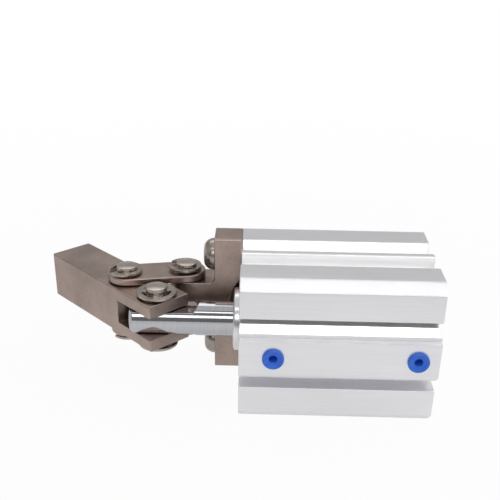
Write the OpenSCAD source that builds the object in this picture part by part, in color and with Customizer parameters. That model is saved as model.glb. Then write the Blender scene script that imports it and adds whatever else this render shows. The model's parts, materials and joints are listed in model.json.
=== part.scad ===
// Pneumatic clamp cylinder, lying on its side.
// The origin is the centre of the rear mounting face, on the rod axis.
// The rod points along -X, the ports face -Y and the clamp linkage sits on the +Y side.
// The pose is half stroke, with the clamp arm half way between open and clamped.

/* [Cylinder] */
// Piston diameter and bore of the tube
bore_d = 25; // [25:0.1:26]
// Full travel of the rod
stroke = 20; // [16:0.5:21]
// Height of the body
body_h = 42; // [42:0.5:46]
// Width of the body without the port rail
body_w = 40; // [40:0.5:44]
// Leg of the 45 degree chamfer along the corners of the body
corner_chamfer = 2.8; // [1.5:0.1:3.4]
// Distance from the top of the body to the mounting holes
mount_inset_z = 7; // [6.2:0.1:7.4]
// Distance from the side of the body to the mounting holes
mount_inset_y = 6; // [5.4:0.1:6.4]
// Core diameter of the M5 mounting threads
mount_hole_d = 4.2; // [3.8:0.1:4.5]

/* [Body grooves] */
// Width of the ridge between the two grooves of the top and of the bottom
ridge_w = 2; // [1.6:0.1:3]
// Width of a sensor groove in the top and in the bottom
top_groove_w = 7.6; // [5:0.1:7.8]
// Depth of a sensor groove in the top and in the bottom
top_groove_depth = 4.7; // [4.2:0.1:4.9]
// Width of a groove beside the port rail
side_groove_w = 3.8; // [3:0.1:4.2]
// Wall left between a groove beside the port rail and the mounting hole next to it
groove_wall = 1.6; // [1:0.05:1.8]
// Depth of a groove beside the port rail
side_groove_depth = 5; // [3:0.1:5.4]

/* [Ports] */
// How far the face with the ports stands out of the side of the body
rail_proud = 2.1; // [1:0.1:4]
// How far the two steps beside that face stand out
step_proud = 0.7; // [0.3:0.1:0.9]
// Width of each of those steps
step_w = 1.3; // [0.5:0.1:1.8]
// Core diameter of the M5 port threads
port_d = 4.2; // [3.8:0.1:4.6]
// Distance from the front face to the front port
front_port_x = 9.1; // [8.6:0.1:10]
// Distance from the rear face to the rear port
rear_port_x = 5.8; // [5:0.1:6.4]
// Diameter of the flange of a port plug
plug_flange_d = 5.8; // [5:0.1:8]
// Thickness of the flange of a port plug
plug_flange_t = 0.9; // [0.6:0.1:2]
// Diameter of the blind hole in the middle of a port plug
plug_core_d = 2.3; // [1.6:0.1:2.8]

/* [Covers] */
// Step from the bore out to the wall of the recess that takes a cover
cover_step = 1; // [0.7:0.05:1.2]
// Depth of the front recess, down to its shoulder
front_recess = 8; // [7.8:0.1:8.4]
// Depth of the rear recess, down to its shoulder
rear_recess = 4.6; // [4.4:0.1:4.8]
// Distance from an end face of the body to its retaining ring
ring_inset = 0.9; // [0.6:0.1:1.2]
// Thickness of a retaining ring
ring_t = 1.2; // [1:0.1:1.3]
// How far a retaining ring reaches into its groove
ring_bite = 0.65; // [0.4:0.05:0.8]
// Room for the retaining ring, between the boss of the front cover and the recess
boss_room = 4.5; // [4.4:0.1:5.2]
// How far the boss stands out of the front face
boss_proud = 2; // [1:0.1:2.4]
// Room for the air round the noses of both covers, inside the bore
nose_room = 2.5; // [2:0.1:3.5]
// Length of the nose of the front cover
front_nose = 3; // [2.5:0.1:4]
// Length of the nose of the rear cover
rear_nose = 2.1; // [1.5:0.1:3]
// Section of the sealing ring of the front cover
front_seal_t = 1.9; // [1.5:0.05:2]
// Section of the sealing ring of the rear cover
rear_seal_t = 1.3; // [1:0.05:1.35]
// Thickness of an impact ring
bumper_t = 1.5; // [1:0.1:2]

/* [Rod and piston] */
// Diameter of the piston rod
rod_d = 10; // [9.5:0.1:10.4]
// Diameter of the rod's spigot through the piston
spigot_d = 8; // [7:0.1:9]
// Outer diameter of the rod bush
bush_d = 12; // [11.6:0.1:13]
// Outer diameter of the rod seal
rod_seal_d = 15; // [14:0.1:15.6]
// Length of the rod seal
rod_seal_l = 3.4; // [2.4:0.1:3.6]
// Length of the piston
piston_l = 12.3; // [12.1:0.1:14]
// Radial play of the piston itself in the bore, where its seal and wear ring bear
piston_play = 0.2; // [0.15:0.05:0.4]
// Width across the flats of the piston nut
nut_af = 13; // [11:0.5:13.5]
// Thickness of the piston nut
nut_t = 4.2; // [3:0.1:4.6]
// Depth of the piston seal's groove
seal_depth = 3; // [2.4:0.1:3.4]
// Depth of the wear ring's groove
wear_depth = 1.3; // [1:0.1:2]
// Depth of the magnet's groove
magnet_depth = 2.8; // [2:0.1:3.4]
// Thickness of the flattened end of the rod
tongue_t = 6.5; // [5.5:0.1:7]
// How far the rod reaches beyond its cross pin
tongue_reach = 7.7; // [6:0.1:8.4]
// Distance from the cross pin to the centre of the flats' round ends
flat_run = 6.5; // [4:0.1:8]
// Radius of the cutter that leaves the round ends of the flats
flat_r = 5.5; // [5.1:0.1:6]

/* [Linkage] */
// Distance from the front face to the rod pin at half stroke
rod_pin_x = 23.9; // [22.5:0.1:25]
// Angle of the arm away from the rod axis at half stroke
arm_angle = 45.9; // [40:0.5:52]
// Distance along the arm from the rod pin to the arm pin
arm_pin_reach = 14; // [12.5:0.1:14.5]
// Distance from the front face to the lug pin
lug_pin_x = 16.5; // [15:0.1:17.5]
// Distance from the rod axis to the lug pin
lug_pin_y = 13.4; // [13:0.1:14.5]
// Diameter of the three hinge pins
pin_d = 6; // [5:0.1:6.4]
// Radial play of a hinge pin in its bore
pin_play = 0.03; // [0.02:0.01:0.06]
// How far the lug pin and the arm pin stand out of their clips
link_pin_end = 0.9; // [0.6:0.1:1.6]
// How far the rod pin stands out of its clips
rod_pin_end = 1.5; // [0.8:0.1:2]
// How far the arm turns for each millimetre of rod travel, in degrees
arm_rate = 4.1; // [3.8:0.05:4.3]
// How far the links turn for each millimetre of rod travel, in degrees
link_rate = 2.4; // [2.2:0.05:2.5]

/* [Arm] */
// Length of the clamp arm
arm_l = 50; // [40:0.5:80]
// Width of the clamp arm at its tip
arm_w = 13.4; // [12.6:0.1:13.6]
// How much wider the arm is at its fork end, all of it on the clamping side
arm_flare = 0.7; // [0:0.05:0.8]
// Thickness of the clamp arm and of the bracket's lug
arm_t = 14.1; // [13.5:0.1:16]
// Distance from the fork end of the arm to the rod pin
fork_reach = 5.2; // [4.8:0.1:5.8]
// Gap between the two plates of the fork
fork_gap = 7; // [6.9:0.1:7.6]
// Distance from the rod pin to the root of the fork
fork_root = 10.2; // [9.4:0.1:10.6]
// Leg of the chamfer along the edges of the arm
arm_edge = 0.3; // [0.2:0.05:1]

/* [Links and clips] */
// Thickness of a link plate
link_t = 2.1; // [1.5:0.1:2.2]
// Width of a link plate
link_w = 11.2; // [9.6:0.1:11.4]
// Leg of the chamfers along the rims of a link plate
link_edge = 0.25; // [0.1:0.05:0.6]
// Outer diameter of the clips on the arm pin and on the lug pin
link_clip_d = 9.8; // [9:0.1:10.4]
// Outer diameter of the clips on the rod pin
rod_clip_d = 11.4; // [9.6:0.1:11.6]
// Thickness of a clip
clip_t = 0.75; // [0.4:0.05:0.9]
// Width of the rim of a clip, as a share of its diameter
clip_rim = 0.13; // [0.1:0.01:0.17]
// Play of a hinge pin along its axis, on each side
clip_play = 0.5; // [0.1:0.05:0.6]
// Play between a link plate and the arm
link_play = 0.25; // [0.1:0.05:0.4]
// How far the rims of the link clips lie off their pins, towards their mouths
clip_offset = 0.5; // [0:0.05:0.7]
// Diameter of a hinge pin in its clip groove
clip_groove_d = 4.3; // [3.8:0.1:4.6]

/* [Bracket] */
// Thickness of the bracket's plate
plate_t = 8; // [7:0.1:9]
// Distance from the rod axis to the near face of the bracket
bracket_y = 8.2; // [7.8:0.1:8.6]
// Width of the lug across its pin
lug_w = 10.4; // [9.6:0.1:10.8]
// Leg of the chamfers along the near edges of the bracket's plate
plate_edge = 0.4; // [0.1:0.05:0.8]
// Radius of the fillet between the lug and the plate
lug_fillet = 1.5; // [0.5:0.1:2]
// Radius of the countersink round the boss, at the front face of the body
relief_r = 12.3; // [12:0.1:13]
// Diameter of a screw's head
screw_head_d = 9.5; // [8.5:0.1:9.6]
// Height of a screw's head
screw_head_h = 3.5; // [2.2:0.1:3.8]
// Diameter of a screw's shank
screw_d = 5; // [4.8:0.1:5.2]
// Depth of a screw in the body
screw_bite = 10; // [7:0.5:14]
// Width across the flats of a screw's hexagon socket
socket_af = 3; // [2.5:0.1:3.5]

/* [Hidden] */
$fn = 64;

// Plays of the fixed fits and of the sliding fits, on the radius
seat = 0.02;
slide = 0.04;
// Overlap that lets a cut pass cleanly through a face
cut = 1;

// Diameters of the recess for a cover, of the boss and of the noses
cover_d = bore_d + 2 * cover_step;
boss_d = cover_d - 2 * boss_room;
nose_d = bore_d - 2 * nose_room;

// Places of the mounting holes from the rod axis
mount_y = body_w / 2 - mount_inset_y;
mount_z = body_h / 2 - mount_inset_z;

// Width of the raised rail that carries the ports: what the grooves beside it leave
rail_w = 2 * (mount_z - mount_hole_d / 2 - groove_wall - side_groove_w);

// Stations along the rod axis: the body's length follows from what it has to hold
front_stop = front_recess + front_nose + bumper_t;
rear_stop = rear_recess + rear_nose + bumper_t;
body_l = front_stop + stroke + piston_l + rear_stop;
front_x = -body_l;
piston_x = front_x + front_stop + stroke / 2;
rod_pin_at = [front_x - rod_pin_x, 0];
lug_pin_at = [front_x - lug_pin_x, lug_pin_y];
arm_dir = [-cos(arm_angle), sin(arm_angle)];
arm_pin_at = rod_pin_at + arm_pin_reach * arm_dir;
link_l = norm(lug_pin_at - arm_pin_at);
link_dir = (lug_pin_at - arm_pin_at) / link_l;
link_angle = atan2(link_dir[1], link_dir[0]);
plate_x = front_x - plate_t;

// Heights of the faces that the links and clips lie between
link_z = arm_t / 2 + link_play;
link_top = link_z + link_t;
pin_bore_d = pin_d + 2 * pin_play;

// Turn a list of [station, radius] points about the rod axis
module turned(points) {
  rotate([0, 90, 0]) rotate_extrude() polygon([for (p = points) [p[1], p[0]]]);
}

// Round bar or hole along the rod axis, between two stations
module along_x(x0, x1, d, y = 0, z = 0) {
  translate([x0, y, z]) rotate([0, 90, 0]) cylinder(h = x1 - x0, d = d);
}

// Extrude an outline, drawn across the rod axis, between two stations
module profile_x(x0, x1) {
  translate([x0, 0, 0]) rotate([90, 0, 90]) linear_extrude(x1 - x0) children();
}

// Outline of the body: an oblong with four chamfered corners, and the stepped port rail on its near side
module body_outline() {
  y = body_w / 2;
  z = body_h / 2;
  c = corner_chamfer;
  w = rail_w / 2;
  pad = w - step_w;
  step = -y - step_proud;
  face = -y - rail_proud;
  polygon([
    [-y, -z + c], [-y + c, -z], [y - c, -z], [y, -z + c],
    [y, z - c], [y - c, z], [-y + c, z], [-y, z - c],
    [-y, w], [step, w], [step, pad], [face, pad],
    [face, -pad], [step, -pad], [step, -w], [-y, -w]
  ]);
}

// The grooves of one side, top or bottom
module sensor_grooves() {
  for (side = [-1, 1])
    translate([side * (ridge_w + top_groove_w) / 2, body_h / 2])
      square([top_groove_w, 2 * top_groove_depth], center = true);
}

// The grooves on both sides of the port rail, and their likes on the far side
module side_grooves() {
  for (side = [-1, 1])
    translate([-body_w / 2, side * (rail_w + side_groove_w) / 2])
      square([2 * side_groove_depth, side_groove_w], center = true);
}

module body_profile() {
  difference() {
    body_outline();
    sensor_grooves();
    mirror([0, 1, 0]) sensor_grooves();
    side_grooves();
    mirror([1, 0, 0]) side_grooves();
  }
}

module cylinder_body() {
  groove_d = cover_d + 2 * ring_bite;
  color("silver") difference() {
    profile_x(front_x, 0) body_profile();
    along_x(front_x - cut, cut, bore_d);
    along_x(front_x - cut, front_x + front_recess, cover_d);
    along_x(-rear_recess, cut, cover_d);
    along_x(front_x + ring_inset, front_x + ring_inset + ring_t + seat, groove_d);
    along_x(-ring_inset - ring_t - seat, -ring_inset, groove_d);
    for (y = [-1, 1], z = [-1, 1])
      along_x(front_x - cut, cut, mount_hole_d, y * mount_y, z * mount_z);
    for (z = [-1, 1])
      along_x(front_x - cut, front_x + screw_bite + cut, screw_d + 2 * seat,
              mount_y, z * mount_z);
    for (x = [front_x + front_port_x, -rear_port_x])
      translate([x, 0, 0]) rotate([90, 0, 0]) cylinder(h = body_w / 2 + rail_proud + cut, d = port_d);
  }
}

// Stations of the front cover: outer face, flange and nose
boss_x = front_x - boss_proud;
front_flange_x = front_x + ring_inset + ring_t + seat;
front_shoulder_x = front_x + front_recess;
front_nose_x = front_shoulder_x + front_nose;
// Lip of the boss in front of the rod seal, and the play of the rod in the cover
lip_t = 0.7;
rod_gap_d = rod_d + 0.6;
seal_x = boss_x + lip_t;
bush_x = seal_x + rod_seal_l + 1;
// Play of a sealing ring in its groove
seal_room = 0.05;

module cover_groove(middle, seal_t) {
  difference() {
    along_x(middle - seal_t / 2 - 0.15, middle + seal_t / 2 + 0.15, cover_d + cut);
    along_x(middle - seal_t, middle + seal_t, cover_d - 2 * seal_t - 2 * seal_room);
  }
}

module front_cover() {
  color("gainsboro") difference() {
    turned([
      [boss_x, 0], [boss_x, boss_d / 2 - 0.4], [boss_x + 0.4, boss_d / 2],
      [front_flange_x, boss_d / 2], [front_flange_x, cover_d / 2 - seat],
      [front_shoulder_x, cover_d / 2 - seat], [front_shoulder_x, nose_d / 2],
      [front_nose_x, nose_d / 2], [front_nose_x, 0]
    ]);
    along_x(boss_x - cut, front_nose_x + cut, rod_gap_d);
    along_x(seal_x, seal_x + rod_seal_l, rod_seal_d);
    along_x(bush_x, front_nose_x + cut, bush_d);
    cover_groove((front_flange_x + front_shoulder_x) / 2, front_seal_t);
  }
}

// Sealing ring of round section in the rim of a cover
module cover_seal(middle, seal_t) {
  r = cover_d / 2 - seal_room - seal_t / 2;
  color("black") translate([middle, 0, 0]) rotate([0, 90, 0])
    rotate_extrude() translate([r, 0]) circle(d = seal_t - 0.02, $fn = 24);
}

module front_cover_seal() {
  cover_seal((front_flange_x + front_shoulder_x) / 2, front_seal_t);
}

// Sprung ring with a gap between two ears, which have a hole for the pliers
module retaining_ring(x) {
  outer = cover_d / 2 + ring_bite - 0.1;
  inner = cover_d / 2 - boss_room / 3;
  ear_r = boss_room / 2 - 0.35;
  ear_at = cover_d / 2 - boss_room / 2;
  ear_angle = 15;
  color("dimgray") translate([x, 0, 0]) rotate([0, 90, 0]) difference() {
    union() {
      difference() {
        cylinder(h = ring_t, r = outer);
        translate([0, 0, -cut]) cylinder(h = ring_t + 2 * cut, r = inner);
        translate([0, -inner * sin(ear_angle), -cut])
          cube([2 * outer, 2 * inner * sin(ear_angle), ring_t + 2 * cut]);
      }
      for (side = [-1, 1]) rotate(side * (ear_angle + 6)) translate([ear_at, 0, 0])
        cylinder(h = ring_t, r = ear_r);
    }
    for (side = [-1, 1]) rotate(side * (ear_angle + 6)) translate([ear_at, 0, -cut])
      cylinder(h = ring_t + 2 * cut, r = 0.7);
  }
}

module front_retaining_ring() {
  retaining_ring(front_x + ring_inset);
}

module rod_bush() {
  color("darkgoldenrod") difference() {
    along_x(bush_x, front_nose_x, bush_d - 2 * seat);
    along_x(bush_x - cut, front_nose_x + cut, rod_d + 2 * slide);
  }
}

// Lip seal: the inner edge leans on the rod, the heel fills the pocket
module rod_seal() {
  r = rod_d / 2 + seat;
  outer = rod_seal_d / 2 - seat;
  x0 = seal_x + seat;
  x1 = seal_x + rod_seal_l - seat;
  color("black") turned([
    [x0, r + 0.5], [x0, outer], [x1, outer], [x1, outer - 0.8],
    [x0 + 1.6, (outer + r) / 2], [x1, r + 0.4], [x1 - 0.5, r], [x0 + 0.8, r + 0.3]
  ]);
}

// Impact ring against a nose, on the side of the piston
module bumper(x0, x1) {
  color("saddlebrown") difference() {
    along_x(x0, x1, nose_d - 1);
    along_x(x0 - cut, x1 + cut, rod_d + 4);
  }
}

module front_bumper() {
  bumper(front_nose_x, front_nose_x + bumper_t - slide);
}

rear_flange_x = -ring_inset - ring_t - seat;
rear_nose_x = -rear_recess - rear_nose;

module rear_cover() {
  color("gainsboro") difference() {
    turned([
      [rear_nose_x, 0], [rear_nose_x, nose_d / 2], [-rear_recess, nose_d / 2],
      [-rear_recess, cover_d / 2 - seat], [rear_flange_x, cover_d / 2 - seat],
      [rear_flange_x, 0]
    ]);
    cover_groove((rear_flange_x - rear_recess) / 2, rear_seal_t);
  }
}

module rear_cover_seal() {
  cover_seal((rear_flange_x - rear_recess) / 2, rear_seal_t);
}

module rear_retaining_ring() {
  retaining_ring(-ring_inset - ring_t);
}

module rear_bumper() {
  bumper(rear_nose_x - bumper_t + slide, rear_nose_x);
}

// Press-in plug: a dished flange with a blind hole, on a stem that fills the port
module port_plug(x) {
  stem_l = 4;
  face = body_w / 2 + rail_proud;
  flange_r = plug_flange_d / 2;
  dish = plug_flange_t * 0.35;
  color("royalblue") translate([x, -face, 0]) rotate([-90, 0, 0]) rotate_extrude() polygon([
    [0, stem_l], [port_d / 2 - seat, stem_l], [port_d / 2 - seat, 0], [flange_r, 0],
    [flange_r, -plug_flange_t * 0.7], [flange_r - 0.3, -plug_flange_t],
    [flange_r - 0.6, -plug_flange_t], [plug_core_d / 2, -plug_flange_t + dish],
    [plug_core_d / 2, stem_l - 1.5], [0, stem_l - 1.5]
  ]);
}

module front_port_plug() {
  port_plug(front_x + front_port_x);
}

module rear_port_plug() {
  port_plug(-rear_port_x);
}

// Outline of the bracket's plate, which follows the body's on the far side
module bracket_outline() {
  y = body_w / 2;
  z = body_h / 2;
  c = corner_chamfer;
  e = plate_edge;
  polygon([
    [bracket_y, -z + e], [bracket_y + e, -z], [y - c, -z], [y, -z + c],
    [y, z - c], [y - c, z], [bracket_y + e, z], [bracket_y, z - e]
  ]);
}

// Concave fillet where the lug leaves the plate, above or below
module lug_fillet_bar(side) {
  r = lug_fillet;
  far = lug_pin_y + lug_w / 2;
  translate([plate_x, 0, side * arm_t / 2]) difference() {
    translate([-r, bracket_y, side > 0 ? 0 : -r]) cube([r, far - bracket_y, r]);
    translate([-r, bracket_y - cut, side * r]) rotate([-90, 0, 0])
      cylinder(h = far - bracket_y + 2 * cut, r = r);
  }
}

module clamp_bracket() {
  relief_l = relief_r - bracket_y + cut;
  color("rosybrown") difference() {
    union() {
      profile_x(plate_x, front_x) bracket_outline();
      translate([lug_pin_at[0], bracket_y, -arm_t / 2])
        cube([plate_x - lug_pin_at[0] + cut, lug_pin_y + lug_w / 2 - bracket_y, arm_t]);
      translate([lug_pin_at[0], lug_pin_y, -arm_t / 2]) cylinder(h = arm_t, d = lug_w);
      lug_fillet_bar(1);
      lug_fillet_bar(-1);
    }
    translate([lug_pin_at[0], lug_pin_y, -arm_t]) cylinder(h = 2 * arm_t, d = pin_bore_d);
    translate([front_x - relief_l, 0, 0]) rotate([0, 90, 0])
      cylinder(h = relief_l + cut, r1 = relief_r - relief_l, r2 = relief_r + cut);
    translate([front_x, bracket_y, 0]) rotate([0, 0, 45])
      cube([plate_edge * sqrt(2), plate_edge * sqrt(2), 2 * body_h], center = true);
    for (z = [-1, 1])
      along_x(plate_x - cut, front_x + cut, screw_d + 0.5, mount_y, z * mount_z);
  }
}

// Button head screw with a hexagon socket
module bracket_screw(side) {
  r = screw_head_d / 2;
  h = screw_head_h;
  dome_r = (r * r + h * h) / (2 * h);
  rim = 0.4;
  color("tan") translate([plate_x, mount_y, side * mount_z]) difference() {
    union() {
      turned(concat(
        [[0, 0], [0, r], [-rim, r]],
        [for (i = [1:8]) let (a = i / 8 * asin(r / dome_r))
          [-rim - (h - rim) * (dome_r * cos(asin(r / dome_r) - a) - (dome_r - h)) / h,
           dome_r * sin(asin(r / dome_r) - a)]]
      ));
      along_x(-seat, plate_t + screw_bite, screw_d);
    }
    translate([-h - cut, 0, 0]) rotate([0, 90, 0])
      cylinder(h = cut + 1.7, d = socket_af / cos(30), $fn = 6);
  }
}

module upper_bracket_screw() {
  bracket_screw(1);
}

module lower_bracket_screw() {
  bracket_screw(-1);
}

// Hinge pin along Z with a clip groove near each end; clip_z is where a clip's inner face lies
module hinge_pin(at, clip_z, pin_end) {
  r = pin_d / 2;
  g = clip_groove_d / 2;
  z1 = clip_z - 0.03;
  z2 = clip_z + clip_t + 0.03;
  z3 = z2 + pin_end;
  c = 0.15;
  half = [[r, z1], [g, z1], [g, z2], [r, z2], [r, z3 - c], [r - c, z3], [0, z3]];
  lower = [for (i = [len(half) - 1:-1:0]) [half[i][0], -half[i][1]]];
  color("darkgray") translate([at[0], at[1], 0]) rotate_extrude() polygon(concat(lower, half));
}

// Open clip that snaps into the groove of a pin: a split rim with three inner tongues,
// where the rim may lie off the pin's axis
module pin_clip(at, z, d, mouth_angle, offset) {
  grip_d = clip_groove_d + 0.06;
  tongue_w = d * 0.2;
  rim = d * clip_rim;
  color("darkgray") translate([at[0], at[1], z]) rotate(mouth_angle) difference() {
    union() {
      translate([offset, 0, 0]) difference() {
        cylinder(h = clip_t, d = d);
        translate([0, 0, -cut]) cylinder(h = clip_t + 2 * cut, d = d - 2 * rim);
      }
      for (a = [75, 180, 285]) rotate(a) translate([0, -tongue_w / 2, 0])
        cube([(d - rim) / 2 + offset * cos(a), tongue_w, clip_t]);
    }
    translate([0, 0, -cut]) cylinder(h = clip_t + 2 * cut, d = grip_d);
    translate([0, -grip_d * 0.4, -cut]) cube([d, grip_d * 0.8, clip_t + 2 * cut]);
  }
}

link_clip_z = link_top + clip_play;
rod_clip_z = arm_t / 2 + clip_play;
// Directions in which the mouths of the clips look, in plan
lug_pin_mouth = 170;
arm_pin_mouth = 200;
rod_pin_mouth = 100;

// Clip of the lug pin or of the arm pin, above (side 1) or below (side -1)
module link_clip(at, mouth_angle, side) {
  z = side > 0 ? link_clip_z : -link_clip_z - clip_t;
  pin_clip(at, z, link_clip_d, mouth_angle, clip_offset);
}

// Clip of the rod pin, above or below
module rod_clip(side) {
  z = side > 0 ? rod_clip_z : -rod_clip_z - clip_t;
  pin_clip(rod_pin_at, z, rod_clip_d, rod_pin_mouth, 0);
}

module lug_pin() {
  hinge_pin(lug_pin_at, link_clip_z, link_pin_end);
}

module upper_lug_pin_clip() {
  link_clip(lug_pin_at, lug_pin_mouth, 1);
}

module lower_lug_pin_clip() {
  link_clip(lug_pin_at, lug_pin_mouth, -1);
}

// The rod: round bar, flattened at its front end round the cross pin, with a spigot for the piston
module piston_rod() {
  tip_x = rod_pin_at[0] - tongue_reach;
  flat_x = rod_pin_at[0] + flat_run;
  nut_end = piston_x + piston_l - 0.2;
  r = rod_d / 2;
  color("lightsteelblue") difference() {
    turned([
      [tip_x, 0], [tip_x, r - 1], [tip_x + 1, r], [piston_x, r],
      [piston_x, spigot_d / 2], [nut_end, spigot_d / 2], [nut_end, 0]
    ]);
    for (side = [-1, 1]) {
      translate([tip_x - cut, -rod_d, side > 0 ? tongue_t / 2 : -tongue_t / 2 - rod_d])
        cube([flat_x - tip_x + cut, 2 * rod_d, rod_d]);
      translate([flat_x, 0, side > 0 ? tongue_t / 2 : -tongue_t / 2 - rod_d])
        cylinder(h = rod_d, r = flat_r);
    }
    translate([rod_pin_at[0], 0, -rod_d]) cylinder(h = 2 * rod_d, d = pin_bore_d);
  }
}

// Stations of the piston's grooves, from its front face
wear_at = [1.2, 3.8];
seal_at = [5, 7.8];
magnet_at = [9, 11.4];
// Bottom diameters of the grooves
wear_floor = bore_d - 2 * wear_depth;
seal_floor = bore_d - 2 * seal_depth;
magnet_floor = bore_d - 2 * magnet_depth;
nut_well_d = nut_af / cos(30) + 1;

module ring_cut(span, floor_d) {
  difference() {
    along_x(piston_x + span[0], piston_x + span[1], bore_d + cut);
    along_x(piston_x + span[0] - cut, piston_x + span[1] + cut, floor_d);
  }
}

module piston() {
  color("gray") difference() {
    along_x(piston_x, piston_x + piston_l, bore_d - 2 * piston_play);
    ring_cut(wear_at, wear_floor);
    ring_cut(seal_at, seal_floor);
    ring_cut(magnet_at, magnet_floor);
    along_x(piston_x - cut, piston_x + piston_l + cut, spigot_d + 2 * seat);
    along_x(piston_x + piston_l - nut_t - 0.2, piston_x + piston_l + cut, nut_well_d);
  }
}

// Ring that fills a groove of the piston up to an outer diameter
module groove_ring(span, floor_d, outer_d) {
  difference() {
    along_x(piston_x + span[0] + seat, piston_x + span[1] - seat, outer_d);
    along_x(piston_x + span[0] - cut, piston_x + span[1] + cut, floor_d + 2 * seat);
  }
}

module piston_seal() {
  color("black") groove_ring(seal_at, seal_floor, bore_d - 2 * seat);
}

module piston_wear_ring() {
  color("ivory") groove_ring(wear_at, wear_floor, bore_d - 2 * slide);
}

module piston_magnet() {
  color("darkslategray") groove_ring(magnet_at, magnet_floor, bore_d - 1);
}

module piston_nut() {
  x1 = piston_x + piston_l - 0.2;
  color("goldenrod") difference() {
    translate([x1 - nut_t, 0, 0]) rotate([0, 90, 0])
      cylinder(h = nut_t, d = nut_af / cos(30), $fn = 6);
    along_x(x1 - nut_t - cut, x1 + cut, spigot_d + 2 * seat);
  }
}

// Place a piece that is drawn with the rod pin at the origin and the arm along +X
module on_arm() {
  translate([rod_pin_at[0], rod_pin_at[1], 0]) rotate(180 - arm_angle) children();
}

// Stock along +X whose side at y = 0 has chamfered edges
module edge_stock(l, depth, t, c) {
  rotate([90, 0, 90]) linear_extrude(l) polygon([
    [-depth, -t / 2], [-c, -t / 2], [0, -t / 2 + c], [0, t / 2 - c], [-c, t / 2], [-depth, t / 2]
  ]);
}

// Bar from x0 to x1 with its edges chamfered. Its side at +Y is straight, and its side at -Y
// flares out towards x0.
module flared_bar(x0, x1, w, t, c, flare) {
  l = x1 - x0;
  y0 = -w / 2 - flare;
  slope = atan(flare / l);
  // The plan reaches a little past both sides, where the stocks trim it
  m = c + cut / 2;
  intersection() {
    translate([0, 0, -t / 2]) linear_extrude(t) polygon([
      [x0 + m, y0 + c - m], [x1 - m, -w / 2 + c - m], [x1, -w / 2 + c], [x1, w / 2 - c],
      [x1 - m, w / 2 - c + m], [x0 + m, w / 2 - c + m], [x0, w / 2 - c], [x0, y0 + c]
    ]);
    translate([x0 - cut, w / 2, 0]) edge_stock(l + 2 * cut, 2 * w, t, c);
    translate([x1, -w / 2, 0]) rotate(180 + slope) translate([-cut, 0, 0])
      edge_stock(l + 2 * cut, 2 * w, t, c);
  }
}

// Where the links carry the arm pin, seen from the arm, when the rod has moved by s
function arm_pin_from_arm(s) =
  let (
    rod_pin = rod_pin_at - [s, 0],
    turn = 180 - arm_angle - arm_rate * s,
    link_turn = link_angle - link_rate * s,
    arm_pin = lug_pin_at - link_l * [cos(link_turn), sin(link_turn)],
    v = arm_pin - rod_pin
  ) [v[0] * cos(turn) + v[1] * sin(turn), v[1] * cos(turn) - v[0] * sin(turn)];

// The slot of the arm pin is a row of holes, a little past both ends of the stroke
slot_steps = 8;
slot_play = 0.12;

module clamp_arm() {
  color("rosybrown") on_arm() difference() {
    flared_bar(-fork_reach, arm_l - fork_reach, arm_w, arm_t, arm_edge, arm_flare);
    translate([-fork_reach - cut, -arm_w, -fork_gap / 2])
      cube([fork_root + fork_reach + cut, 2 * arm_w, fork_gap]);
    translate([0, 0, -arm_t]) cylinder(h = 2 * arm_t, d = pin_bore_d);
    for (i = [-slot_steps:slot_steps])
      translate([each arm_pin_from_arm(i / slot_steps * 1.02 * stroke / 2), -arm_t])
        cylinder(h = 2 * arm_t, d = pin_d + 2 * slot_play);
  }
}

module rod_pin() {
  hinge_pin(rod_pin_at, rod_clip_z, rod_pin_end);
}

module upper_rod_pin_clip() {
  rod_clip(1);
}

module lower_rod_pin_clip() {
  rod_clip(-1);
}

// Flat plate with round ends about the arm pin and the lug pin
module link_plate(z) {
  r = link_w / 2;
  e = link_edge;
  half = [[0, 0], [r - e, 0], [r, e], [r, link_t - e], [r - e, link_t], [0, link_t]];
  color("rosybrown") translate([arm_pin_at[0], arm_pin_at[1], z]) rotate(link_angle) difference() {
    union() {
      for (x = [0, link_l]) translate([x, 0, 0]) rotate_extrude() polygon(half);
      rotate([90, 0, 90]) linear_extrude(link_l)
        polygon(concat(half, [for (i = [4:-1:1]) [-half[i][0], half[i][1]]]));
    }
    for (x = [0, link_l]) translate([x, 0, -cut]) cylinder(h = link_t + 2 * cut, d = pin_bore_d);
  }
}

module upper_link_plate() {
  link_plate(link_z);
}

module lower_link_plate() {
  link_plate(-link_top);
}

module arm_pin() {
  hinge_pin(arm_pin_at, link_clip_z, link_pin_end);
}

module upper_arm_pin_clip() {
  link_clip(arm_pin_at, arm_pin_mouth, 1);
}

module lower_arm_pin_clip() {
  link_clip(arm_pin_at, arm_pin_mouth, -1);
}

cylinder_body();
front_cover();
front_cover_seal();
front_retaining_ring();
rod_bush();
rod_seal();
front_bumper();
rear_cover();
rear_cover_seal();
rear_retaining_ring();
rear_bumper();
front_port_plug();
rear_port_plug();
clamp_bracket();
upper_bracket_screw();
lower_bracket_screw();
lug_pin();
upper_lug_pin_clip();
lower_lug_pin_clip();
piston_rod();
piston();
piston_seal();
piston_wear_ring();
piston_magnet();
piston_nut();
clamp_arm();
rod_pin();
upper_rod_pin_clip();
lower_rod_pin_clip();
upper_link_plate();
lower_link_plate();
arm_pin();
upper_arm_pin_clip();
lower_arm_pin_clip();
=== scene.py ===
# %% [markdown]
# # A pneumatic clamp cylinder
# A compact air cylinder of bare aluminium lies on a white table. Its rod works a small lever clamp of
# nickel-plated steel: a forked arm, two links and a bracket. The solids come from the CAD model, in
# metres. This script gives them their finish and rebuilds what the eye rests on.

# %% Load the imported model
import json
import math

import bmesh
import bpy
from mathutils import Matrix, Vector


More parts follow.
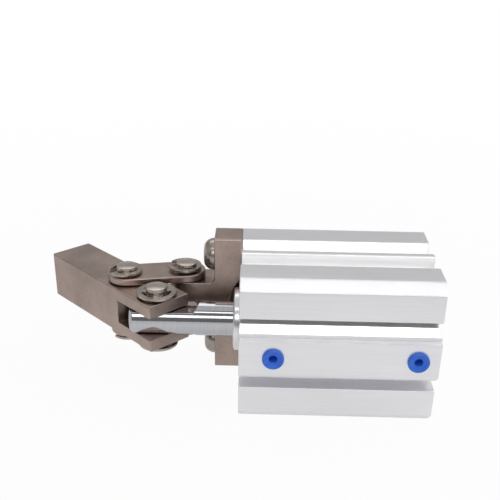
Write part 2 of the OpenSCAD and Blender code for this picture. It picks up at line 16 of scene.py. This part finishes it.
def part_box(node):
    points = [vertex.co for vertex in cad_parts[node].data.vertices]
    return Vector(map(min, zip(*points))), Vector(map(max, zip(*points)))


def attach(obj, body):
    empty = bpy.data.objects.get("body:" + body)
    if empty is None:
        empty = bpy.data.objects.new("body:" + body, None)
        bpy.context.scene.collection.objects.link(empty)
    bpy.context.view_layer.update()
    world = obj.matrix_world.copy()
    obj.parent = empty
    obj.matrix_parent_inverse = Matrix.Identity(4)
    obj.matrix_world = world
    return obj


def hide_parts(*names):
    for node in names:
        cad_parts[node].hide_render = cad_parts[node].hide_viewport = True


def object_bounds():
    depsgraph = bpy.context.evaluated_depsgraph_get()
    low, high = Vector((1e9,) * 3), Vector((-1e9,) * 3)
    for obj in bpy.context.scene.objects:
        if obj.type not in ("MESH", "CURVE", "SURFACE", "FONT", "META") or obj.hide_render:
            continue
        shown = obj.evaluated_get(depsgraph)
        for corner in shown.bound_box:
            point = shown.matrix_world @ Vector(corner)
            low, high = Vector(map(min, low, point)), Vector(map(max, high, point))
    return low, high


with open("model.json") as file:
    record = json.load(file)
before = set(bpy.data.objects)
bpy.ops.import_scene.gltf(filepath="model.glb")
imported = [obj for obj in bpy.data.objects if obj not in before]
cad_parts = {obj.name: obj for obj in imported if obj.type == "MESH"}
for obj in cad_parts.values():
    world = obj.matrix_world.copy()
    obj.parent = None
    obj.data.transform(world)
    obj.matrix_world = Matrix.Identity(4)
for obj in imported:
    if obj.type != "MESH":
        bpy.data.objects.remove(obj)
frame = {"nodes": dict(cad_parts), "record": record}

cad_box = [list(corner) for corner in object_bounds()]
MM = 0.001
nodes = frame["nodes"]
print("CAD box in mm:", [[round(x / MM, 1) for x in corner] for corner in cad_box])

# %% [markdown]
# ## Camera
# The photo was taken from a little above, almost square to the side with the air ports. The straight
# edges of the body give the lens and the place of the camera, for a body 40 mm wide. The lens centre
# then falls below the middle of the picture, as if the picture had been trimmed at the top. A shift of
# the lens repeats that: turning the camera instead would lean the upright edges.

# %% Camera
PHOTO_SIZE = 500
FOCAL_PIXELS = 809.0
LENS_CENTRE = (246.86, 310.47)
CAMERA_PLACE = Vector((-48.18, -205.05, 108.28)) * MM
ELEVATION, AZIMUTH, ROLL = 27.24, 0.87, 0.91

camera_data = bpy.data.cameras.new("camera")
camera_data.lens = FOCAL_PIXELS / PHOTO_SIZE * camera_data.sensor_width
camera_data.shift_x = 0.5 - LENS_CENTRE[0] / PHOTO_SIZE
camera_data.shift_y = LENS_CENTRE[1] / PHOTO_SIZE - 0.5
camera_data.clip_start = 0.01
camera = bpy.data.objects.new("camera", camera_data)
camera.matrix_world = (
    Matrix.Translation(CAMERA_PLACE)
    @ Matrix.Rotation(math.radians(AZIMUTH), 4, "Z")
    @ Matrix.Rotation(math.radians(90 - ELEVATION), 4, "X")
    @ Matrix.Rotation(math.radians(ROLL), 4, "Z")
)
bpy.context.scene.collection.objects.link(camera)
bpy.context.scene.camera = camera
bpy.context.scene.view_settings.view_transform = "Standard"
print(f"lens {camera_data.lens:.1f} mm, shift {camera_data.shift_x:.3f}, {camera_data.shift_y:.3f}")

# %% [markdown]
# ## Words for shaders
# A material is a graph of small nodes. Written node by node it is long and hard to read. Here a value
# that changes over the surface is wrapped in a class whose operators add Math nodes, so that a sum in
# the graph looks like a sum on paper.

# %% Sockets that take part in sums


class Socket:
    """A value that changes over the surface. Sums with it become Math nodes."""

    def __init__(self, recipe, end):
        self.recipe, self.end = recipe, end

    def maths(self, operation, *terms):
        return self.recipe.node("ShaderNodeMath", {"operation": operation}, *terms)

    def __add__(self, other):
        return self.maths("ADD", self, other)

    def __sub__(self, other):
        return self.maths("SUBTRACT", self, other)

    def __rsub__(self, other):
        return self.maths("SUBTRACT", other, self)

    def __mul__(self, other):
        return self.maths("MULTIPLY", self, other)

    def __truediv__(self, other):
        return self.maths("DIVIDE", self, other)

    def __pow__(self, other):
        return self.maths("POWER", self, other)

    def __gt__(self, other):
        return self.maths("GREATER_THAN", self, other)

    def __lt__(self, other):
        return self.maths("LESS_THAN", self, other)

    def size(self):
        return self.maths("ABSOLUTE", self)

    __radd__ = __add__
    __rmul__ = __mul__


print("sockets ready")

# %% [markdown]
# Every other node comes from one method. It takes the node's type, its settings, and what goes into its
# sockets. A few short words for the nodes that come up often stand on top of it.

# %% Recipes for node trees


class Recipe:
    """The node tree of one material or of the world."""

    def __init__(self, tree):
        self.tree = tree
        tree.nodes.clear()

    def node(self, kind, settings, *values, out=0, **named):
        """Make a node: its settings first, then what goes into its sockets, by order or by name."""
        made = self.tree.nodes.new(kind)
        for name, setting in settings.items():
            if name == "stops":
                self.set_stops(made.color_ramp, setting)
            else:
                setattr(made, name, setting)
        for name, value in [*enumerate(values), *named.items()]:
            socket = made.inputs[name.replace("_", " ") if isinstance(name, str) else name]
            if isinstance(value, Socket):
                self.tree.links.new(value.end, socket)
            elif value is not None:
                socket.default_value = value
        return Socket(self, made.outputs[out]) if made.outputs else made

    def set_stops(self, ramp, stops):
        """Put a ramp's stops where they belong: (place, grey or colour)."""
        while len(ramp.elements) < len(stops):
            ramp.elements.new(0.5)
        for element, (place, value) in zip(ramp.elements, stops):
            element.position = place
            element.color = (*value, 1) if isinstance(value, tuple) else (value, value, value, 1)

    def object_place(self, scale):
        """Object coordinates, stretched as a pattern needs."""
        place = self.node("ShaderNodeTexCoord", {}, out=3)
        return self.node("ShaderNodeMapping", {}, Vector=place, Scale=scale)

    def object_xyz(self):
        """The three object coordinates, in mm."""
        place = self.node("ShaderNodeTexCoord", {}, out=3)
        return [self.node("ShaderNodeSeparateXYZ", {}, place, out=i) / MM for i in range(3)]

    def noise(self, stretch, detail=2.0, roughness=0.5):
        """Noise whose grains are 1 / stretch metres long, with one stretch or one for each axis."""
        scale = stretch if isinstance(stretch, tuple) else (stretch,) * 3
        place = self.object_place(scale)
        return self.node(
            "ShaderNodeTexNoise", {}, Vector=place, Scale=1.0, Detail=detail, Roughness=roughness
        )

    def ramp(self, value, *stops):
        return self.node("ShaderNodeValToRGB", {"stops": stops}, value)

    def mix(self, factor, first, second):
        """Mix two colours, whose sockets are the node's seventh and eighth."""
        unused = [None] * 5
        return self.node(
            "ShaderNodeMix", {"data_type": "RGBA"}, factor, *unused, first, second, out=2
        )

    def bump(self, height):
        """A bump from a height in mm."""
        return self.node("ShaderNodeBump", {}, Height=height, Distance=MM, Strength=1.0)

    def light_rays(self):
        """1 for a ray from the camera, from a reflection, or through glass."""
        names = ("Is Camera Ray", "Is Glossy Ray", "Is Transmission Ray")
        return [self.node("ShaderNodeLightPath", {}, out=name) for name in names]


print("recipes ready")

# %% [markdown]
# A finish is a material with one Principled shader. A paint function gives the sockets that vary over
# the surface, and the others are plain numbers on the shader itself.

# %% From a recipe to a finish


def finish_of(name, paint, **constants):
    """A material whose varying sockets come from paint(recipe) and whose others are constant."""
    material = bpy.data.materials.new(name)
    material.use_nodes = True
    recipe = Recipe(material.node_tree)
    surface = recipe.node("ShaderNodeBsdfPrincipled", {}, **constants, **paint(recipe))
    recipe.node("ShaderNodeOutputMaterial", {}, surface)
    return material


print("finishes can be made")

# %% [markdown]
# ## Finishes
# The body is extruded aluminium with a satin clear anodising. The die leaves faint lines along it, so
# its noise is stretched along X.
#
# In the photo the walls of the top grooves and the shelf of a side groove are white strips, and the back
# wall of that groove is a dark one. A real groove gets them from the lamps and cards of the studio, which
# the photo doesn't show. Here those faces are found by their coordinates. The walls and the shelf get a
# painted highlight, a near white colour, and the back wall gets painted shade, a grey. A slope in the
# bump turns the walls and the shelf towards the front lamp. The colours and the slope were chosen to
# match the photo. The shape stays flat, as on the real profile.

# %% Anodised aluminium
GROOVE_FLOOR, GROOVE_OUT, BODY_TOP = 15.9, 8.7, 20.9  # top and bottom grooves, in mm from the rod axis
SLOT_FLOOR, SLOT_LOW, SLOT_HIGH, BODY_SIDE = 14.9, 6.4, 10.4, 20.6  # side grooves
FRONT_END, REAR_END = -52.9, -0.1  # the end faces keep the plain finish
SHELF_LEAN, WALL_LEAN = 1.7, 0.42  # rise of the bump for each mm along the face


def anodised(recipe):
    lines = recipe.noise((40, 2600, 2600), detail=3.0)
    cloud = recipe.noise(60, detail=3.0)
    outer = recipe.ramp(
        lines * 0.6 + cloud * 0.4, (0.3, (0.83, 0.83, 0.85)), (0.7, (0.90, 0.90, 0.93))
    )
    x, y, z = recipe.object_xyz()
    depth, height = y.size(), z.size()
    length = (x > FRONT_END) * (x < REAR_END)
    walls = (height > GROOVE_FLOOR) * (height < BODY_TOP) * (depth < GROOVE_OUT)
    slot = (depth > SLOT_FLOOR) * (depth < BODY_SIDE) * (height > SLOT_LOW) * (height < SLOT_HIGH)
    shelf = slot * (z > 0) * (z < SLOT_LOW + 0.2) * (y < 0)
    # The back wall of the side groove gets painted shade: a grey in place of the shadow under the rib
    # above.
    painted_shade_wall = slot * (z > 0) * (depth < SLOT_FLOOR + 0.2)
    # The groove walls and the shelf get a painted highlight: a near white colour in place of light.
    painted_highlight = (walls + shelf) * length
    with_painted_highlight = recipe.mix(painted_highlight, outer, (0.95, 0.95, 0.96, 1))
    lean = (y * shelf * SHELF_LEAN - height * walls * WALL_LEAN) * length
    return {
        # The base colour carries the painted highlight and, on the back wall, the painted shade.
        "Base_Color": recipe.mix(painted_shade_wall, with_painted_highlight, (0.6, 0.6, 0.61, 1)),
        "Metallic": painted_highlight * 0.2 + 0.8,
        "Roughness": lines * 0.08 + 0.26 - painted_highlight * 0.12,
        "Normal": recipe.bump(lines * (1 - painted_highlight) * 0.01 + lean),
    }


body_finish = finish_of("anodised aluminium", anodised)
print("made", body_finish.name)

# %% [markdown]
# The arm, the links and the bracket are steel with a thin, warm nickel plating. It is satin, a little
# cloudy, and finely grained where the steel was blasted. A large soft noise makes the clouds in colour
# and gloss, and a small one makes the grain, which also goes into the bump.

# %% Nickel-plated steel


def nickel(recipe):
    cloud = recipe.noise(90, detail=4.0, roughness=0.6)
    grain = recipe.noise(1800)
    dark, light = (0.345, 0.268, 0.235), (0.49, 0.386, 0.34)
    return {
        "Base_Color": recipe.ramp(cloud * 0.7 + grain * 0.3, (0.35, dark), (0.65, light)),
        "Roughness": cloud * 0.14 + 0.27,
        "Normal": recipe.bump(grain * 0.02),
    }


nickel_finish = finish_of("nickel plated steel", nickel, Metallic=1.0)
print("made", nickel_finish.name)

# %% [markdown]
# The rod is ground and then hard chromed, so it is nearly a mirror. The grinding goes round the rod. A
# noise that is fine along X and long across it gives those rings. They show only as a small change in
# colour and gloss.

# %% Chromed rod


def chrome(recipe):
    rings = recipe.noise((3000, 60, 60))
    return {
        "Base_Color": recipe.ramp(rings, (0.3, (0.50, 0.505, 0.53)), (0.7, (0.55, 0.555, 0.58))),
        "Roughness": rings * 0.05 + 0.08,
    }


chrome_finish = finish_of("hard chrome", chrome, Metallic=1.0)
print("made", chrome_finish.name)

# %% [markdown]
# Pins, clips and screws are small steel goods that are plated in a drum, where they rub on each other.
# They come out alike, in a brown grey with a fine grain, so one recipe makes all three. Each copy is
# made lighter or darker as painted light: the pins lightest, as a painted sheen on their turned ends,
# and the screws darkest, as painted shade.

# %% Small plated steel


def small_steel(light):
    """The plating of the pins, clips and screws."""
    brown_grey = (0.50, 0.44, 0.40)
    # light scales the colour: the lighter copy is a painted sheen, the darker ones painted shade.
    low, high = [tuple(c * light * k for c in brown_grey) for k in (0.85, 1.15)]

    def paint(recipe):
        cloud = recipe.noise(400, detail=3.0)
        grain = recipe.noise(3500)
        return {
            "Base_Color": recipe.ramp(cloud * 0.7 + grain * 0.3, (0.35, low), (0.65, high)),
            "Roughness": cloud * 0.14 + 0.20,
            "Normal": recipe.bump(grain * 0.01),
        }

    return paint


# Pins lightest as a painted sheen, clips between, screws darkest as painted shade.
pin_finish = finish_of("plated pin steel", small_steel(1.0), Metallic=1.0)
clip_finish = finish_of("plated clip steel", small_steel(0.9), Metallic=1.0)
screw_finish = finish_of("plated screw steel", small_steel(0.8), Metallic=1.0)
print("made", [finish.name for finish in (pin_finish, clip_finish, screw_finish)])

# %% [markdown]
# The covers and the piston are turned on a lathe, whose tool leaves fine rings about the rod axis. A
# noise with only one dimension, read from the distance to the axis, draws rings of uneven width. A
# Wave texture would make them too even.

# %% Turned aluminium


def turned(recipe):
    x, y, z = recipe.object_xyz()
    radius = (y * y + z * z) ** 0.5
    rings = recipe.node(
        "ShaderNodeTexNoise", {"noise_dimensions": "1D"}, W=radius, Scale=6, Detail=2
    )
    return {
        "Base_Color": recipe.ramp(rings, (0.3, (0.76, 0.76, 0.78)), (0.7, (0.84, 0.84, 0.86))),
        "Roughness": rings * 0.12 + 0.2,
        "Normal": recipe.bump(rings * 0.01),
    }


turned_finish = finish_of("turned aluminium", turned, Metallic=1.0)
print("made", turned_finish.name)

# %% [markdown]
# What is left is moulded or sintered: the seals, the bush, the bumpers, the wear ring, the magnet and
# the blue plugs. Each has one colour with a soft cloud in it, because no moulded piece is quite even. A
# recipe with three numbers is enough for them.

# %% Moulded and sintered pieces


def plain(colour, spread, roughness):
    """One colour with a little cloud in it. spread is how far the colour strays."""
    low, high = [tuple(min(1, c * k) for c in colour) for k in (1 - spread, 1 + spread)]

    def paint(recipe):
        cloud = recipe.noise(300, detail=3.0)
        return {
            "Base_Color": recipe.ramp(cloud, (0.3, low), (0.7, high)),
            "Roughness": cloud * 0.1 + roughness,
        }

    return paint


ring_finish = finish_of("phosphated steel", plain((0.12, 0.12, 0.12), 0.2, 0.45), Metallic=1.0)
bronze_finish = finish_of("sintered bronze", plain((0.5, 0.34, 0.2), 0.15, 0.4), Metallic=1.0)
rubber_finish = finish_of("black rubber", plain((0.02, 0.02, 0.02), 0.2, 0.55))
urethane_finish = finish_of("brown urethane", plain((0.3, 0.16, 0.08), 0.1, 0.4))
resin_finish = finish_of("white resin", plain((0.75, 0.72, 0.65), 0.05, 0.5))
magnet_finish = finish_of("bonded magnet", plain((0.05, 0.05, 0.055), 0.2, 0.5))
plug_finish = finish_of("blue plastic", plain((0.03, 0.155, 0.72), 0.08, 0.32))
print(len(bpy.data.materials), "finishes in all")

# %% [markdown]
# The record gives each node the name of a material slot. A table from slot to finish dresses all of them
# in one loop, so a hidden piece can't be forgotten.

# %% Every node gets its finish
FINISHES = {
    "body_aluminium": body_finish,
    "cover_aluminium": turned_finish,
    "seal_rubber": rubber_finish,
    "ring_steel": ring_finish,
    "bush_bronze": bronze_finish,
    "bumper_urethane": urethane_finish,
    "plug_plastic": plug_finish,
    "nickel_steel": nickel_finish,
    "screw_steel": screw_finish,
    "pin_steel": pin_finish,
    "clip_steel": clip_finish,
    "rod_chrome": chrome_finish,
    "piston_aluminium": turned_finish,
    "wear_ring_resin": resin_finish,
    "magnet_rubber": magnet_finish,
}
slots = {part["node"]: part["material_slot"] for part in frame["record"]["subparts"]}
for name, node in nodes.items():
    for slot in node.material_slots:
        slot.material = FINISHES[slots[name]]
print(len(nodes), "nodes have their finish")

# %% [markdown]
# ## From a mesh to a piece
# Each new piece takes the same steps. Its bmesh becomes an object at the origin, smooth where it is
# rounded and sharp elsewhere. A Weighted Normal modifier keeps large faces flat beside a bevel. Then the
# piece rides on a body of the mechanism, gets the finish of its CAD node's slot, and stands in for its
# CAD node.

# %% Hand a piece to the frame
body_of = {
    name: body for body, names in frame["record"]["behaviour"]["bodies"].items() for name in names
}
print("bodies:", sorted(set(body_of.values())))


def stand_in(shape, prefix, name, crease=40):
    """Make a piece of a bmesh, for a CAD node that it replaces."""
    mesh = bpy.data.meshes.new(prefix + name)
    shape.to_mesh(mesh)
    shape.free()
    mesh.materials.append(FINISHES[slots[name]])
    mesh.polygons.foreach_set("use_smooth", [True] * len(mesh.polygons))
    mesh.set_sharp_from_angle(angle=math.radians(crease))
    made = bpy.data.objects.new(prefix + name, mesh)
    bpy.context.scene.collection.objects.link(made)
    shading = made.modifiers.new("flat faces stay flat", "WEIGHTED_NORMAL")
    shading.keep_sharp = True
    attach(made, body_of[name])
    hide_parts(name)
    print(f"{made.name}: {len(mesh.polygons)} faces")


# %% [markdown]
# ## Rounded edges
# No real edge is sharp: a deburred edge is a thin round strip, and that strip catches the light. A CAD
# solid has only sharp edges. Each solid that shows is copied, its triangles are merged into faces again,
# and every edge gets a small bevel. The bevel operator does what the file or the tumbler does in a
# workshop. A Bevel modifier would do as well, but here the radius belongs to the piece.

# %% Round the edges of a copy
MERGE = 0.002 * MM
FLAT, SHARP = math.radians(0.5), math.radians(30)  # a facet of a round face turns less than SHARP


def rounded_copy(name, radius):
    """Stand a copy with rounded edges in for a CAD node. The radius is in mm."""
    shape = bmesh.new()
    shape.from_mesh(nodes[name].data)
    bmesh.ops.remove_doubles(shape, verts=shape.verts, dist=MERGE)
    bmesh.ops.dissolve_limit(shape, angle_limit=FLAT, verts=shape.verts, edges=shape.edges)
    edges = [e for e in shape.edges if len(e.link_faces) == 2 and e.calc_face_angle() > SHARP]
    bmesh.ops.bevel(
        shape, geom=edges, offset=radius * MM, segments=2, affect="EDGES", profile=0.5,
        material=-1, clamp_overlap=False,
    )
    stand_in(shape, "rounded_", name)


# %% [markdown]
# The photo is too coarse to measure these radii, so each is a guess that follows the kind of piece. The
# extrusion and the bracket get a quarter of a millimetre, as from tumbling. The arm and the rod's end
# are crisper, and a stamped clip is thin and keeps the sharpest edge.

# %% Rounded copies of the CAD solids
EDGE_RADII = {
    "cylinder_body": 0.25,
    "front_cover": 0.25,
    "rear_cover": 0.15,
    "front_retaining_ring": 0.1,
    "rear_retaining_ring": 0.1,
    "clamp_bracket": 0.25,
    "clamp_arm": 0.17,
    "upper_link_plate": 0.12,
    "lower_link_plate": 0.12,
    "piston_rod": 0.12,
}
for pin in ("lug_pin", "rod_pin", "arm_pin"):
    for side in ("upper", "lower"):
        EDGE_RADII[f"{side}_{pin}_clip"] = 0.08
for name, radius in EDGE_RADII.items():
    rounded_copy(name, radius)

# %% [markdown]
# ## Turned pieces
# Pins, plugs and screw heads are turned on a lathe or moulded round, so their shape is one profile that
# spins about an axis. Spin does just that. A cylinder primitive would need its ends cut and bevelled
# afterwards, while a profile holds the rounded end, the groove for a clip and the dish of a plug at once.

# %% Spin a profile


def spun(profile, centre, axis, steps=64):
    """Spin (radius, height) points, in mm, about an axis through a centre. Heights go along the axis."""
    shape = bmesh.new()
    corners = [shape.verts.new((radius * MM, 0, height * MM)) for radius, height in profile]
    edges = [shape.edges.new(pair) for pair in zip(corners, corners[1:])]
    bmesh.ops.spin(
        shape, geom=corners + edges, cent=(0, 0, 0), axis=(0, 0, 1), angle=2 * math.pi,
        steps=steps, use_merge=True,
    )
    bmesh.ops.remove_doubles(shape, verts=shape.verts, dist=MERGE)
    stand_up(shape, centre, axis)
    return shape


def stand_up(shape, centre, axis):
    """Turn a shape from +Z to an axis, move it to its place, and point its faces outwards."""
    turn = Vector((0, 0, 1)).rotation_difference(Vector(axis)).to_matrix().to_4x4()
    bmesh.ops.transform(shape, matrix=Matrix.Translation(centre) @ turn, verts=shape.verts)
    bmesh.ops.recalc_face_normals(shape, faces=shape.faces)


# %% [markdown]
# A hinge pin is a turned rod with a groove near each end, where a clip snaps in. Its ends are slightly
# domed. The profile of the upper half is written from the middle up, and its mirror image makes the
# lower half. The heights come from the clips' own boxes, so the groove is always round its clip.

# %% Hinge pins
PIN_RADIUS, GROOVE_RADIUS, CLIP_ROOM = 3.0, 2.15, 0.03
for name in ("lug_pin", "rod_pin", "arm_pin"):
    bottom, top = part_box(name)
    end = (top.z - bottom.z) / MM / 2
    low, high = (corner.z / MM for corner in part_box(f"upper_{name}_clip"))
    low, high = low - CLIP_ROOM, high + CLIP_ROOM
    half = [
        (PIN_RADIUS, low), (GROOVE_RADIUS, low), (GROOVE_RADIUS, high), (PIN_RADIUS, high),
        (PIN_RADIUS, end - 0.16), (2.95, end - 0.05), (2.84, end), (0, end),
    ]
    profile = [(radius, -height) for radius, height in reversed(half)] + half
    stand_in(spun(profile, (bottom + top) / 2, (0, 0, 1)), "turned_", name)

# %% [markdown]
# A plug closes each air port for transport. It is a soft moulding with a round flange, a shallow dish
# and a deep hole in its middle, by which it is pulled out. The profile runs from the tip in the port,
# round the flange, and down into the hole. Height 0 is the face of the rail.

# %% Port plugs
FLANGE_THICKNESS = 0.9
PLUG_PROFILE = [
    (0, -4.0), (1.9, -4.0), (2.08, -3.7), (2.08, 0), (2.78, 0),  # the core and the flange's underside
    (2.9, 0.1), (2.9, 0.6), (2.82, 0.78), (2.62, 0.88), (2.4, 0.9),  # the flange's rim
    (2.25, 0.84), (2.1, 0.7), (1.35, 0.48), (1.2, 0.42),  # the dish
    (1.12, 0.3), (1.1, -2.3), (0.9, -2.5), (0, -2.5),  # the hole
]
for name in ("front_port_plug", "rear_port_plug"):
    low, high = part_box(name)
    middle = (low + high) / 2
    rail_face = Vector((middle.x, low.y + FLANGE_THICKNESS * MM, middle.z))
    stand_in(spun(PLUG_PROFILE, rail_face, (0, -1, 0), steps=96), "moulded_", name)

# %% [markdown]
# A button head screw holds the bracket at each end. Its head is a spun dome with a hexagon socket. The
# dome ends in a ring. A hexagon with as many points as the ring is bridged to it, and the hexagon's loop
# is extruded down to make the socket. A boolean would do the same, with a less even mesh.

# %% Head and socket of a screw
HEAD_RADIUS, HEAD_HEIGHT, HEAD_RIM = 4.75, 3.5, 0.42
TOP_RADIUS, SOCKET_FLATS, SOCKET_DEPTH = 2.15, 3.0, 1.7
SHANK_RADIUS, SHANK_END = 2.5, -17.5
STEPS, DOME_STEPS = 48, 10


def screw_shape(seat):
    """A button head screw along -X, whose head sits on a point of the bracket."""
    profile = [
        (0, SHANK_END), (1.9, SHANK_END), (SHANK_RADIUS, SHANK_END + 0.6), (SHANK_RADIUS, 0),
        (HEAD_RADIUS - 0.1, 0), (HEAD_RADIUS, 0.12), (HEAD_RADIUS, HEAD_RIM),
    ]
    for i in range(1, DOME_STEPS + 1):
        turn = math.radians(90) * i / DOME_STEPS
        inward = (HEAD_RADIUS - TOP_RADIUS) * (1 - math.cos(turn))
        rise = (HEAD_HEIGHT - HEAD_RIM) * math.sin(turn)
        profile.append((HEAD_RADIUS - inward, HEAD_RIM + rise))
    shape = spun(profile, (0, 0, 0), (0, 0, 1), steps=STEPS)
    rim = [e for e in shape.edges if e.is_boundary]
    socket = bmesh.ops.create_circle(
        shape, segments=6, radius=SOCKET_FLATS / 2 / math.cos(math.radians(30)) * MM,
        matrix=Matrix.Translation((0, 0, (HEAD_HEIGHT - 0.03) * MM)),
    )["verts"]
    sides = list({e for v in socket for e in v.link_edges})
    bmesh.ops.subdivide_edges(shape, edges=sides, cuts=STEPS // 6 - 1)
    hexagon = [e for e in shape.edges if e.is_wire]
    bmesh.ops.bridge_loops(shape, edges=rim + hexagon)
    hexagon = [e for e in shape.edges if e.is_boundary]
    walls = bmesh.ops.extrude_edge_only(shape, edges=hexagon)["geom"]
    floor = [v for v in walls if isinstance(v, bmesh.types.BMVert)]
    bmesh.ops.translate(shape, vec=(0, 0, -SOCKET_DEPTH * MM), verts=floor)
    bmesh.ops.holes_fill(shape, edges=[e for e in shape.edges if e.is_boundary], sides=0)
    stand_up(shape, seat, (-1, 0, 0))
    return shape


# %% [markdown]
# The two screws are the same. Each sits on the front face of the bracket, which lies one head height
# behind the front of the screw's CAD solid.

# %% Bracket screws
for name in ("upper_bracket_screw", "lower_bracket_screw"):
    low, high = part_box(name)
    middle = (low + high) / 2
    shape = screw_shape(Vector((low.x + HEAD_HEIGHT * MM, middle.y, middle.z)))
    print("open edges:", sum(e.is_boundary for e in shape.edges))
    stand_in(shape, "turned_", name, crease=50)

# %% [markdown]
# ## Table and world
# The photo has a white background. It comes from what a ray sees and not from more light: a camera ray
# sees the table as nearly white near the object, where it keeps its shadow, and as white further out. A
# reflection sees it as a grey that gets darker away from the object, as a small table in a dim room
# would. Full white there would wash out the metal, so the grey was chosen to match the photo.

# %% Table
table_mesh = bpy.data.meshes.new("table")
sheet = bmesh.new()
bmesh.ops.create_grid(
    sheet, x_segments=1, y_segments=1, size=6.0, matrix=Matrix.Translation((0, 0, cad_box[0][2]))
)
sheet.to_mesh(table_mesh)
sheet.free()
table = bpy.data.objects.new("table", table_mesh)
bpy.context.scene.collection.objects.link(table)
table_finish = bpy.data.materials.new("white table")
table_finish.use_nodes = True
recipe = Recipe(table_finish.node_tree)
camera_ray, glossy_ray, passing_ray = recipe.light_rays()
x, y, z = recipe.object_xyz()
away = ((x + 30) * (x + 30) + y * y) ** 0.5  # mm from the middle of the body
seen = recipe.ramp(away / 1000, (0.1, 0.95), (0.4, 1.0))
reflected = recipe.ramp(away / 300, (0.25, 0.57), (0.35, 0.25))
card = recipe.node("ShaderNodeBsdfDiffuse", {}, Color=(0.8, 0.8, 0.8, 1))
glow = recipe.node("ShaderNodeEmission", {}, Color=(1, 1, 1, 1), Strength=1.0)
share = (camera_ray + passing_ray) * seen + glossy_ray * reflected
shown = recipe.node("ShaderNodeMixShader", {}, share, card, glow)
recipe.node("ShaderNodeOutputMaterial", {}, shown)
table.data.materials.append(table_finish)
print("table at", round(cad_box[0][2] / MM, 1), "mm")

# %% [markdown]
# The world is white to the camera. To everything else it is a dim room, which fills the shadows, with a
# white card low down behind the object. The card shows only in reflections, where the top faces and the
# rod mirror it.

# %% World
world = bpy.data.worlds.new("studio")
bpy.context.scene.world = world
world.use_nodes = True
recipe = Recipe(world.node_tree)
camera_ray, glossy_ray, passing_ray = recipe.light_rays()
toward = recipe.node("ShaderNodeTexCoord", {}, out=0)
behind, height = [recipe.node("ShaderNodeSeparateXYZ", {}, toward, out=i) for i in (1, 2)]
backdrop = recipe.ramp(height, (0.06, 1.0), (0.16, 0.0)) * (behind > 0)
room = recipe.node("ShaderNodeBackground", {}, Color=(1, 1, 1, 1), Strength=0.2)
white = recipe.node("ShaderNodeBackground", {}, Color=(1, 1, 1, 1), Strength=1.0)
share = camera_ray + passing_ray + glossy_ray * backdrop
shown = recipe.node("ShaderNodeMixShader", {}, share, room, white)
recipe.node("ShaderNodeOutputWorld", {}, shown)
print("world ready")

# %% [markdown]
# ## Lamps
# Metal shows its lamps, so each lamp is placed for the face that mirrors it. Two strips in front whiten
# the upper chamfer of the body and a narrow band along the rod. Soft lamps overhead and behind light the
# top faces, and one on each side lights the ends. Each was rendered alone, the results were weighed
# against the photo, and the strengths were then trimmed.

# %% Lamps
OBJECT_MIDDLE = Vector((-0.055, 0.005, 0))
LAMP_DISTANCE = 1.0


def soft_lamp(name, brightness, elevation, height, width, azimuth=0):
    """An oblong lamp that faces the object. brightness is what a mirror would show of it."""
    data = bpy.data.lights.new(name, "AREA")
    data.shape = "RECTANGLE"
    data.size, data.size_y = width, height
    data.energy = brightness * math.pi * width * height
    lamp = bpy.data.objects.new(name, data)
    lamp.visible_camera = False
    up, around = math.radians(elevation), math.radians(azimuth)
    toward = Vector((math.sin(around) * math.cos(up), -math.cos(around) * math.cos(up), math.sin(up)))
    place = Matrix.Translation(OBJECT_MIDDLE + toward * LAMP_DISTANCE)
    lamp.matrix_world = place @ toward.to_track_quat("Z", "Y").to_matrix().to_4x4()
    bpy.context.scene.collection.objects.link(lamp)
    print(f"{name}: {data.energy:.2f} W")


soft_lamp("front low strip", 2.9, 34, 0.24, 0.9)
soft_lamp("front high strip", 2.35, 63, 0.15, 1.2)
soft_lamp("overhead", 0.45, 95, 0.7, 1.2)
soft_lamp("back high", 1.4, 127, 0.42, 1.2)
soft_lamp("back", 0.2, 156, 0.6, 1.4)
soft_lamp("left", 0.25, 30, 1.0, 1.4, azimuth=-90)
soft_lamp("right", 1.2, 30, 1.0, 1.4, azimuth=90)
